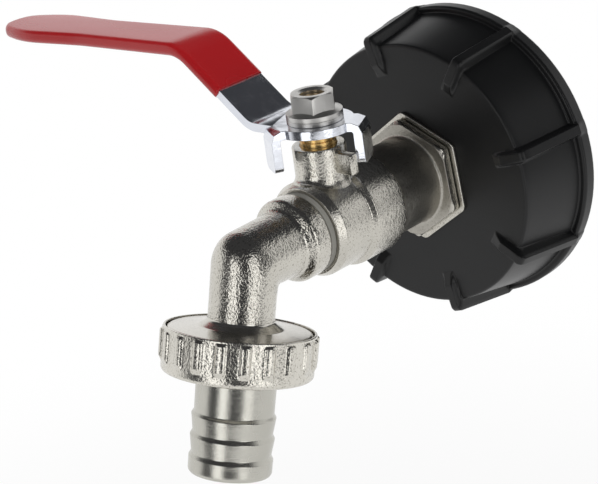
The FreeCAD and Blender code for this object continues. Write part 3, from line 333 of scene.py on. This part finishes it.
# ------------------------------------------------------------------ valve casting
def valve_casting(material):
    """Turned body with a hexagon worked into its rings, a boss that flares on to the body and
    a stop block.

    In the hexagon's band the radius is half the flats / cos(angle from the nearest flat).
    The boss at angle a and step t stands at r = b + f (1 - sin t) on the body's own height
    sqrt(R(y)^2 - x^2), plus f (1 - cos t).
    """
    low, high = box_mm("valve_body")
    inlet = high[1]
    seat = inlet - INLET_LENGTH
    front = seat - 2.4
    neck_end = front - 14.4
    chamber = neck_end - 1.6
    chamber_end = chamber - 10.1
    flank = chamber_end - 1.1
    end = low[1]
    thread, neck, big, small = 10.4, 11.3, 13.0, 11.9
    path = rounded([
        (6.8, inlet, 0.2), (thread, inlet, 0.6), (thread, seat, 0.1), (14.6, seat, 0.1),
        (14.6, front, 0.12), (neck, front, 0.7), (neck, neck_end, 0.8), (big, chamber, 0.9),
        (big, chamber_end, 0.6), (small, flank, 0.7), (small, end + 2.0, 0.5),
        (small - 1.0, end, 0.3), (9.75, end, 0.2), (9.75, end + 4.4, 0.2), (8.4, end + 4.4, 0.2),
        (8.4, STEM_Y + 3.9, 0.2), (8.15, STEM_Y + 8.1, 0.2), (6.8, STEM_Y + 8.1, 0.2)],
        turns=6, sides=4)
    angles = around(168, math.radians(36))
    from_flat = (angles - math.radians(36)) % (TURN / 6) - TURN / 12
    flats = np.minimum(13.5 / np.cos(from_flat), 15.35)
    limit = 15.6 - 1.1 * smooth(path[:, 1], front + 0.75, front)[:, None]
    lift = smooth(path[:, 0], 11.9, 14.6) * (path[:, 1] > front - 0.05)
    radius = path[:, :1] + lift[:, None] * (np.minimum(flats[None], limit) - 14.6)
    ring = np.stack([np.cos(angles), np.sin(angles)])
    casting = np.stack([radius * ring[0], np.broadcast_to(path[:, 1:], radius.shape),
                        radius * ring[1]], -1)

    boss, bore, top, flare = 6.5, 4.5, 19.6, 1.5
    turn = around(96)
    t = np.linspace(0, math.pi / 2, 9)[:, None]
    reach = boss + flare * (1 - np.sin(t))
    x, y = reach * np.cos(turn), STEM_Y + reach * np.sin(turn)
    size_here = small + (big - small) * smooth(y, flank, chamber_end)
    foot = np.sqrt(np.clip(size_here ** 2 - x ** 2, 0, None)) - 0.25
    foot = foot + (flare + 0.25) * (1 - np.cos(t))
    foot = np.stack([x, y, foot], -1)
    sides = rounded([(boss, 16.0, 0.1), (boss, top, 0.45), (bore, top, 0.25), (bore, 12.4, 0.1),
                     (bore + 0.4, 8.0, 0.1)], turns=5, sides=2, closed=False)
    stem = np.array([0.0, STEM_Y, 0.0])
    wall = turned(sides, turn, stem, UP, ACROSS)
    sunk = foot[:1].copy()
    sunk[..., 2] -= 1.0
    collar = np.concatenate([sunk, foot, wall])

    block = rounded([(4.5, -1.3, 0.2), (11.4, -1.3, 0.45), (11.4, 1.3, 0.45), (4.5, 1.3, 0.2)],
                    turns=5, sides=1)
    heights = np.array([13.2, 13.25, 13.45, 13.8, 17.8, 18.15, 18.35, 18.4])
    inset = np.array([0.55, 0.3, 0.1, 0, 0, 0.1, 0.3, 0.55])
    middle = block.mean(0)
    shrink = 1 - inset[:, None, None] / np.array([3.45, 1.3])
    flat = middle + (block - middle)[None] * shrink
    swing = math.radians(-3)
    stop = np.stack([
        flat[..., 0] * math.cos(swing) - flat[..., 1] * math.sin(swing),
        STEM_Y + flat[..., 0] * math.sin(swing) + flat[..., 1] * math.cos(swing),
        np.broadcast_to(heights[:, None], flat.shape[:2])], -1)
    return add_piece("valve_casting", [shell(casting), shell(collar), shell(stop, False)],
                     material, "valve", "valve_body", crease=45)


# ------------------------------------------------------------------ lever and its fastening
def lever_grip(material):
    """Dipped sleeve: rounded rectangles square to the bent middle line of the plate.

    The middle line climbs the slope, bends and runs out to the tip. The half width follows the
    plan outline, and the last stretch thins by 1 - sqrt(1 - t * t) to a soft end.
    """
    low = box_mm("lever_grip")[0]
    slope, half_plate, skin, edge = math.radians(39), 1.1, 0.6, 1.5
    hub_top = box_mm("lock_washer")[0][2]
    first, second = np.array([-14.6, hub_top]), -35.8
    top = hub_top + (first[0] - second) * math.tan(slope)
    start = first + 11.3 * np.array([-math.cos(slope), math.sin(slope)]) - half_plate * np.array(
        [math.sin(slope), math.cos(slope)])
    bend = np.array([second - half_plate * math.tan(slope / 2), top - half_plate])
    tip = np.array([low[0], bend[1] + (low[0] - bend[0]) * math.tan(math.radians(0.6))])
    line = rounded([(*start, 1), (*bend, 10.1), (*tip, 1)], turns=24, closed=False)
    length = np.concatenate([[0], np.cumsum(np.linalg.norm(np.diff(line, axis=0), axis=1))])
    end = length[-1]
    run = np.concatenate([np.linspace(0, 0.35, 4), np.linspace(0.8, 34, 50),
                          np.linspace(35, end - 7, 40), end - 7 * (1 - np.sin(
                              np.linspace(0.04, 1, 26) * math.pi / 2))])
    x, z = np.interp(run, length, line[:, 0]), np.interp(run, length, line[:, 1])
    ahead = unit(np.stack([np.gradient(x, run), np.gradient(z, run)], -1))
    plan = rounded([(start[0] + 9, 8.0, 1), (-36, 8.0, 20), (-74, 7.5, 60), (-95.3, 9.2, 30),
                    (tip[0], 5.3, 6.4), (tip[0], -5.3, 0.1)], turns=16, closed=False)
    plan = plan[plan[:, 1] > 0]
    order = np.argsort(plan[:, 0])
    half_width = np.interp(x, plan[order, 0], plan[order, 1])
    thin = 1 - np.sqrt(np.clip(1 - np.clip((run - end + edge) / edge, 0, 1) ** 2, 0, 1))
    lip = 1 - np.sqrt(np.clip(1 - np.clip((0.35 - run) / 0.35, 0, 1) ** 2, 0, 1))
    half_thick = half_plate + skin - edge * 0.62 * thin - 0.3 * lip
    half_width = half_width - 0.6 * thin - 0.3 * lip
    arc_points, flat_points = 9, 7
    turn = np.linspace(0, TURN / 4, arc_points)
    one, short = np.ones(arc_points), np.ones(flat_points)
    flat = np.linspace(1, -1, flat_points + 2)[1:-1]
    across = np.concatenate([one, flat, -one, -short, -one, flat[::-1], one, short])
    upward = np.concatenate([one, short, one, flat, -one, -short, -one, flat[::-1]])
    angle = np.concatenate([part for quarter in range(4) for part in (
        turn + quarter * TURN / 4, (quarter + 1) % 4 * TURN / 4 * short)])
    corner = np.minimum(np.minimum(edge, half_thick * 0.94), half_width * 0.94)[:, None]
    box_x = (half_width[:, None] - corner) * across + corner * np.cos(angle)
    box_z = (half_thick[:, None] - corner) * upward + corner * np.sin(angle)
    box_z = box_z + 0.1 * upward * (1 - across ** 2)
    up = np.stack([ahead[:, 1], -ahead[:, 0]], -1)
    rings = np.stack([x[:, None] + up[:, :1] * box_z, STEM_Y + box_x,
                      z[:, None] + up[:, 1:] * box_z], -1)
    return add_piece("dipped_grip", [shell(rings, False)], material, "lever", "lever_grip",
                     crease=60)


WORN_ANGLE = math.radians(32)


def softened(node, name, material, body, width, segments=3):
    """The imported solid's own mesh with its points merged, its flats joined and its edges
    rounded by a bevel."""
    mesh = frame["nodes"][node].data.copy()
    work = bmesh.new()
    work.from_mesh(mesh)
    bmesh.ops.remove_doubles(work, verts=work.verts, dist=1e-6)
    bmesh.ops.dissolve_limit(work, angle_limit=math.radians(0.6), verts=work.verts,
                             edges=work.edges)
    work.to_mesh(mesh)
    work.free()
    mesh.name = name
    mesh.materials.clear()
    mesh.materials.append(material)
    mesh.shade_smooth()
    mesh.set_sharp_from_angle(angle=WORN_ANGLE)
    piece = bpy.data.objects.new(name, mesh)
    bpy.context.scene.collection.objects.link(piece)
    bevel = piece.modifiers.new("worn_edges", "BEVEL")
    bevel.width, bevel.segments = width * MM, segments
    bevel.limit_method, bevel.angle_limit = "ANGLE", WORN_ANGLE
    bevel.use_clamp_overlap = True
    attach(piece, body)
    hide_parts(node)
    return piece


# ------------------------------------------------------------------ shader arithmetic
class Wire:
    """An output of a shader node. Arithmetic on it adds Math nodes."""

    def __init__(self, tree, socket):
        self.tree, self.socket = tree, socket

    def math(self, operation, *terms):
        return add_node(self.tree, "Math", {"operation": operation}, dict(enumerate(terms)))

    def __add__(self, other):
        return self.math("ADD", self, other)

    __radd__ = __add__

    def __sub__(self, other):
        return self.math("SUBTRACT", self, other)

    def __rsub__(self, other):
        return self.math("SUBTRACT", other, self)

    def __mul__(self, other):
        return self.math("MULTIPLY", self, other)

    __rmul__ = __mul__

    def step(self, start, end):
        """0 before start and 1 after end, with a soft run between."""
        return add_node(self.tree, "MapRange", {"interpolation_type": "SMOOTHSTEP"},
                        {0: self, 1: start, 2: end, 3: 0.0, 4: 1.0})

    def mix(self, a, b):
        """Colour a where this is 0, colour b where it is 1."""
        return add_node(self.tree, "Mix", {"data_type": "RGBA"}, {0: self, 6: a, 7: b}, 2)


def add_node(tree, kind, settings, inputs, output=0):
    """Any shader node: its settings first, then values or wires for its sockets."""
    node = tree.nodes.new("ShaderNode" + kind)
    for key, value in settings.items():
        setattr(node, key, value)
    for key, value in inputs.items():
        if isinstance(value, Wire):
            tree.links.new(value.socket, node.inputs[key])
        else:
            node.inputs[key].default_value = value
    return Wire(tree, node.outputs[output])


def colour(red, green, blue):
    """Opaque colour, linear light."""
    return (red, green, blue, 1.0)


class Finish:
    """A material under construction, with the patterns that the finishes share."""

    def __init__(self, name):
        self.material = bpy.data.materials.new(name)
        self.material.use_nodes = True
        self.tree = self.material.node_tree
        self.shader = self.tree.nodes["Principled BSDF"]
        self.place = add_node(self.tree, "TexCoord", {}, {}, 3)

    def noise(self, scale, detail=2.0, roughness=0.5, stretch=None, distortion=0.0):
        """Cloudy noise; scale is in waves per metre, stretch multiplies it per axis."""
        where = self.place
        if stretch:
            where = add_node(self.tree, "VectorMath", {"operation": "MULTIPLY"},
                             {0: self.place, 1: stretch})
        return add_node(self.tree, "TexNoise", {}, {
            "Vector": where, "Scale": scale, "Detail": detail, "Roughness": roughness,
            "Distortion": distortion})

    def along(self, axis, origin=(0, 0, 0)):
        """Distance along an axis, in metres."""
        moved = add_node(self.tree, "VectorMath", {"operation": "SUBTRACT"},
                         {0: self.place, 1: origin})
        return add_node(self.tree, "VectorMath", {"operation": "DOT_PRODUCT"},
                        {0: moved, 1: tuple(axis)}, 1)

    def band(self, axis, origin, start, end, soft=0.0006):
        """1 between two stations along an axis, 0 beyond them."""
        distance = self.along(axis, origin)
        return distance.step(start - soft, start) * distance.step(end + soft, end)

    def line_noise(self, distance, scale, detail=2.0):
        """Noise that changes with one distance only, as the tool marks of a lathe do."""
        return add_node(self.tree, "TexNoise", {"noise_dimensions": "1D"},
                        {"W": distance, "Scale": scale, "Detail": detail})

    def bump(self, height, distance, strength=1.0):
        return add_node(self.tree, "Bump", {}, {
            "Strength": strength, "Distance": distance, "Height": height})

    def set(self, **values):
        """Values or wires for the sockets of the shader, spaces written as underscores."""
        for key, value in values.items():
            socket = self.shader.inputs[key.replace("_", " ")]
            if isinstance(value, Wire):
                self.tree.links.new(value.socket, socket)
            else:
                socket.default_value = value
        return self.material


# ------------------------------------------------------------------ finishes
def cast_nickel(name, grain_depth, gloss=0.17, shade=1.0, dull_and_shaded=None, calm=None):
    """Nickel over a blasted casting: sparkling grain, duller clouds, faint warm cast.

    dull and calm each hold an axis, a point on it and two stations in metres. The dull band is
    rougher, and its colour is painted darker as painted shade from the lever and painted reflection
    of the black cap on the neck; the calm band has hardly any grain.
    """
    f = Finish(name)
    grain = f.noise(2100, 2.0, 0.5)
    cloud = f.noise(90, 3.0)
    tone = cloud.mix(colour(0.63 * shade, 0.61 * shade, 0.555 * shade),
                     colour(0.52 * shade, 0.50 * shade, 0.45 * shade))
    tone = grain.step(0.44, 0.3).mix(tone, colour(0.36, 0.345, 0.305))
    rough, height = gloss + cloud * 0.12, grain + f.noise(700, 1.0) * 0.8
    if dull_and_shaded:
        # painted shade: the dull band's colour is darkened for the lever's shade and the black
        # cap's reflection on the neck
        band = f.band(*dull_and_shaded)
        tone = (band * 0.5).mix(tone, colour(0.27, 0.255, 0.225))
        rough = rough + band * 0.12
    if calm:
        band = f.band(*calm)
        height, rough = height * (1 - band * 0.93), rough + band * 0.08
        tone = (band * 0.5).mix(tone, colour(0.66, 0.635, 0.59))
    return f.set(Base_Color=tone, Metallic=1.0, Roughness=rough,
                 Normal=f.bump(height, grain_depth))


def turned_nickel():
    """Nickel over a turned tail: bright, with the rings of the tool across the axis."""
    f = Finish("turned_nickel")
    distance = f.along(SPOUT_DOWN)
    marks = f.line_noise(distance, 5200, 3.0)
    cloud = f.noise(110, 2.0)
    tone = cloud.mix(colour(0.56, 0.55, 0.50), colour(0.46, 0.45, 0.405))
    return f.set(Base_Color=tone, Metallic=1.0, Roughness=0.21 + cloud * 0.12,
                 Normal=f.bump(marks + f.noise(700, 1.0) * 1.5, 0.00002))


def zinc_plate():
    """Bright zinc over pressed steel: cool, glossy, faintly scuffed."""
    f = Finish("zinc_plate")
    scuff = f.noise(420, 4.0, 0.6, stretch=(0.25, 1.0, 1.0))
    cloud = f.noise(70, 3.0)
    tone = cloud.mix(colour(0.80, 0.82, 0.87), colour(0.66, 0.68, 0.74))
    return f.set(Base_Color=tone, Metallic=1.0, Roughness=0.15 + scuff.step(0.45, 0.75) * 0.14,
                 Normal=f.bump(scuff + f.noise(150, 1.0) * 3.0, 0.00006))


def fastener_steel():
    """Plated nut and washer: greyer than the lever, drawn faces."""
    f = Finish("fastener_steel")
    drawn = f.noise(1400, 2.0, stretch=(1.0, 1.0, 0.15))
    cloud = f.noise(160, 2.0)
    tone = cloud.mix(colour(0.70, 0.69, 0.665), colour(0.56, 0.55, 0.53))
    return f.set(Base_Color=tone, Metallic=1.0, Roughness=0.3 + cloud * 0.12,
                 Normal=f.bump(drawn, 0.00002))


def turned_brass():
    """Bare brass, ringed by the tool about the stem's axis."""
    f = Finish("turned_brass")
    rings = f.line_noise(f.along(UP), 7000, 2.0)
    cloud = f.noise(300, 2.0)
    tone = cloud.mix(colour(0.80, 0.56, 0.24), colour(0.60, 0.38, 0.14))
    return f.set(Base_Color=tone, Metallic=1.0, Roughness=0.2 + cloud * 0.1,
                 Normal=f.bump(rings, 0.00001))


def moulded_black():
    """Black moulded plastic: fine spark-eroded skin, slow waves of the mould, rubbed gloss."""
    f = Finish("moulded_black")
    skin = f.noise(2600, 2.0)
    wave = f.noise(38, 2.0)
    dust = f.noise(900, 3.0).step(0.68, 0.8)
    tone = dust.mix(colour(0.0062, 0.0064, 0.0068), colour(0.012, 0.012, 0.0125))
    return f.set(Base_Color=tone, Roughness=0.3 + wave * 0.16 + dust * 0.1,
                 Specular_IOR_Level=0.36, Normal=f.bump(skin + wave * 14.0, 0.000012))


def dipped_vinyl():
    """Red vinyl dipped and cured: glossy, softly uneven, a touch darker where it is thick."""
    f = Finish("dipped_vinyl")
    flow = f.noise(55, 2.0, stretch=(0.35, 1.0, 1.0))
    speck = f.noise(1500, 1.0)
    tone = flow.mix(colour(0.56, 0.010, 0.014), colour(0.42, 0.005, 0.008))
    return f.set(Base_Color=tone, Roughness=0.22 + flow * 0.1, Specular_IOR_Level=0.4,
                 Coat_Weight=0.15, Coat_Roughness=0.12, Coat_IOR=1.55,
                 Normal=f.bump(flow * 10.0 + speck, 0.000012))


def seal_rubber(name, fresh, bloomed):
    """Matt rubber between a fresh and a bloomed shade."""
    f = Finish(name)
    skin = f.noise(1400, 3.0)
    bloom = f.noise(130, 3.0)
    tone = bloom.mix(colour(*fresh), colour(*bloomed))
    return f.set(Base_Color=tone, Roughness=0.55 + bloom * 0.2, Normal=f.bump(skin, 0.00002))


def white_seat():
    """Pressed white fluoropolymer of the seats, packing and seals."""
    f = Finish("white_seat")
    fibre = f.noise(900, 3.0, stretch=(1.0, 1.0, 0.4))
    tone = fibre.mix(colour(0.80, 0.80, 0.77), colour(0.66, 0.66, 0.63))
    return f.set(Base_Color=tone, Roughness=0.42 + fibre * 0.15, Normal=f.bump(fibre, 0.00001))


def polished_chrome():
    """Mirror plating of the ball with a little haze."""
    f = Finish("polished_chrome")
    haze = f.noise(260, 3.0)
    tone = haze.mix(colour(0.86, 0.86, 0.87), colour(0.76, 0.76, 0.77))
    return f.set(Base_Color=tone, Metallic=1.0, Roughness=0.05 + haze * 0.06,
                 Normal=f.bump(haze, 0.000004))


# ------------------------------------------------------------------ dressing the frame
def dress_nodes(material, *nodes):
    """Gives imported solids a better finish."""
    for node in nodes:
        for place in frame["nodes"][node].material_slots:
            place.material = material


seat = box_mm("valve_body")[1][1] - INLET_LENGTH
# the body's neck gets the dull band: rougher, and painted darker for shade and the black cap's
# reflection
casting_finish = cast_nickel("body_nickel", 0.00007, dull_and_shaded=(
    (0, -1, 0), (0, seat * MM, 0), 0.0024, 0.0168))
spout_finish = cast_nickel("spout_nickel", 0.00013, 0.08, calm=(
    SPOUT_DOWN, tuple(CORNER * MM), 0.0133, 0.018))
union_finish = cast_nickel("union_nickel", 0.0001, 0.13, 1.1)
insert_finish = cast_nickel("insert_nickel", 0.00004, 0.22, 1.05)
tail_finish = turned_nickel()
zinc, steel, brass = zinc_plate(), fastener_steel(), turned_brass()
seat_white = white_seat()
rubber = seal_rubber("black_rubber", (0.016, 0.016, 0.017), (0.034, 0.034, 0.034))
# painted shade: the spout seal takes the olive grey of the soft shadow in the groove between bead
# and body
painted_shade_seal = seal_rubber("painted_shade_seal", (0.40, 0.39, 0.35), (0.30, 0.29, 0.26))
tank_cap(moulded_black())
valve_casting(casting_finish)
outlet_spout(spout_finish)
swivel_nut(union_finish)
hose_tail(tail_finish)
lever_grip(dipped_vinyl())
softened("lever", "lever_plate", zinc, "lever", 0.28)
softened("lever_nut", "flange_nut", steel, "lever", 0.22)
softened("lock_washer", "spring_washer", steel, "lever", 0.15)
softened("stem", "brass_stem", brass, "lever", 0.12, 2)
softened("gland_nut", "gland_ring", brass, "valve", 0.15)
softened("thread_insert", "moulded_insert", insert_finish, "valve", 0.2)
dress_nodes(polished_chrome(), "ball")
dress_nodes(seat_white, "inlet_seat", "outlet_seat", "stem_washer", "stem_packing")
dress_nodes(rubber, "cap_gasket", "inlet_seal", "hose_washer")
# painted shade: the spout seal shows the olive grey of the shaded groove
dress_nodes(painted_shade_seal, "spout_seal")


# ------------------------------------------------------------------ room, light and camera
FLOOR_HEIGHT = -0.2


def box_centre():
    """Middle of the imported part's box."""
    low, high = cad_box
    return (Vector(low) + Vector(high)) / 2


def aim(azimuth, elevation, roll):
    """Turn that looks along a direction, X to the right and Y up, then rolls about it."""
    az, el, ro = (math.radians(a) for a in (azimuth, elevation, roll))
    away = Vector((-math.sin(az) * math.cos(el), math.cos(az) * math.cos(el), -math.sin(el)))
    right = Vector((math.cos(az), math.sin(az), 0))
    up = right.cross(away)
    right, up = (math.cos(ro) * right + math.sin(ro) * up,
                 math.cos(ro) * up - math.sin(ro) * right)
    return Matrix((right, up, -away)).transposed()


def emission_mix(tree, lit, white_rays):
    """Pure white by the share that white_rays gives, the lit shader for the rest."""
    white = tree.nodes.new("ShaderNodeEmission")
    both = tree.nodes.new("ShaderNodeMixShader")
    tree.links.new(white_rays.socket, both.inputs[0])
    tree.links.new(lit, both.inputs[1])
    tree.links.new(white.outputs[0], both.inputs[2])
    return both.outputs[0]


def paper_floor(centre):
    """Pale sheet well below the part, white to the eye but for a faint shadow."""
    material = bpy.data.materials.new("paper_sweep")
    material.use_nodes = True
    tree = material.node_tree
    shader = tree.nodes["Principled BSDF"]
    place = add_node(tree, "TexCoord", {}, {}, 3)
    fibre = add_node(tree, "TexNoise", {}, {"Vector": place, "Scale": 900.0})
    tone = fibre.mix(colour(0.86, 0.86, 0.86), colour(0.82, 0.82, 0.82))
    tree.links.new(tone.socket, shader.inputs["Base Color"])
    shader.inputs["Roughness"].default_value = 0.8
    path = tree.nodes.new("ShaderNodeLightPath")
    ray = {key: Wire(tree, path.outputs[key]) for key in (
        "Is Camera Ray", "Is Glossy Ray", "Is Transmission Ray")}
    seen = ray["Is Camera Ray"] + ray["Is Glossy Ray"] + ray["Is Transmission Ray"]
    out = tree.nodes["Material Output"]
    far = add_node(tree, "VectorMath", {"operation": "DISTANCE"},
                   {0: place, 1: (centre.x, centre.y, FLOOR_HEIGHT)}, 1).step(0.12, 0.4)
    tree.links.new(emission_mix(tree, shader.outputs[0], seen * (0.88 + far * 0.12)),
                   out.inputs[0])
    mesh = bpy.data.meshes.new("paper_sweep")
    half, behind = 0.9, 0.35
    mesh.from_pydata([(-half, -half, 0), (half, -half, 0), (half, half, 0), (-half, half, 0)],
                     [], [(0, 1, 2, 3)])
    mesh.transform(Matrix.Translation((centre.x, centre.y + behind, FLOOR_HEIGHT)))
    mesh.materials.append(material)
    floor = bpy.data.objects.new("paper_sweep", mesh)
    bpy.context.scene.collection.objects.link(floor)


def studio_air(camera_azimuth):
    """White all round and low down, dark overhead and behind the camera; soft grey fill."""
    world = bpy.data.worlds.new("studio_air")
    bpy.context.scene.world = world
    world.use_nodes = True
    tree = world.node_tree
    way = add_node(tree, "TexCoord", {}, {}, 0)
    height = add_node(tree, "VectorMath", {"operation": "DOT_PRODUCT"},
                      {0: way, 1: (0, 0, 1)}, 1)
    az = math.radians(camera_azimuth)
    front = add_node(tree, "VectorMath", {"operation": "DOT_PRODUCT"},
                     {0: way, 1: (math.sin(az), -math.cos(az), 0)}, 1)
    ceiling = height.step(0.44, 0.58)
    booth = front.step(0.0, 0.3)
    white, dark = colour(1.0, 1.0, 1.0), colour(0.05, 0.051, 0.055)
    room = booth.mix(white, dark)
    room = ceiling.mix(room, dark)
    path = tree.nodes.new("ShaderNodeLightPath")
    glossy, straight, through = (Wire(tree, path.outputs[f"Is {kind} Ray"]) for kind in (
        "Glossy", "Camera", "Transmission"))
    tone = glossy.mix(colour(0.34, 0.34, 0.345), room)
    tone = (straight + through).mix(tone, white)
    tree.links.new(tone.socket, tree.nodes["Background"].inputs[0])


def soft_lamp(name, place, target, width, height, power, seen=True):
    """Rectangular lamp turned to the target; seen says whether metal mirrors it."""
    lamp = bpy.data.lights.new(name, "AREA")
    lamp.shape, lamp.size, lamp.size_y = "RECTANGLE", width, height
    lamp.energy = power
    carrier = bpy.data.objects.new(name, lamp)
    carrier.location = place
    carrier.rotation_euler = (target - carrier.location).to_track_quat("-Z", "Y").to_euler()
    carrier.visible_glossy = seen
    bpy.context.scene.collection.objects.link(carrier)


def round_the_part(centre, azimuth, elevation, distance):
    """A place at a bearing, a height angle and a distance from the centre."""
    az, el = math.radians(azimuth), math.radians(elevation)
    return centre + distance * Vector((math.sin(az) * math.cos(el), -math.cos(az) * math.cos(el),
                                       math.sin(el)))


CAMERA_AZIMUTH, CAMERA_ELEVATION, CAMERA_ROLL = 45.25, 20.81, -8.11
centre = box_centre()
paper_floor(centre)
studio_air(CAMERA_AZIMUTH)
for side, name in ((-33, "left_softbox"), (33, "right_softbox")):
    soft_lamp(name, round_the_part(centre, CAMERA_AZIMUTH + side, -2, distance=0.8), centre,
              width=0.36, height=0.9, power=1.7)
soft_lamp("top_lamp", centre + Vector((-0.2, 0.3, 0.9)), centre, width=0.8, height=0.8,
          power=3.2, seen=False)

camera = bpy.data.cameras.new("camera")
camera.lens, camera.sensor_width, camera.sensor_fit = 105.56, 36, "HORIZONTAL"
camera.clip_start = 0.01
eye = bpy.data.objects.new("camera", camera)
eye.location = (0.27598, -0.34066, 0.14607)
eye.rotation_euler = aim(CAMERA_AZIMUTH, CAMERA_ELEVATION, CAMERA_ROLL).to_euler()
bpy.context.scene.collection.objects.link(eye)
bpy.context.scene.camera = eye
bpy.context.scene.view_settings.view_transform = "Standard"
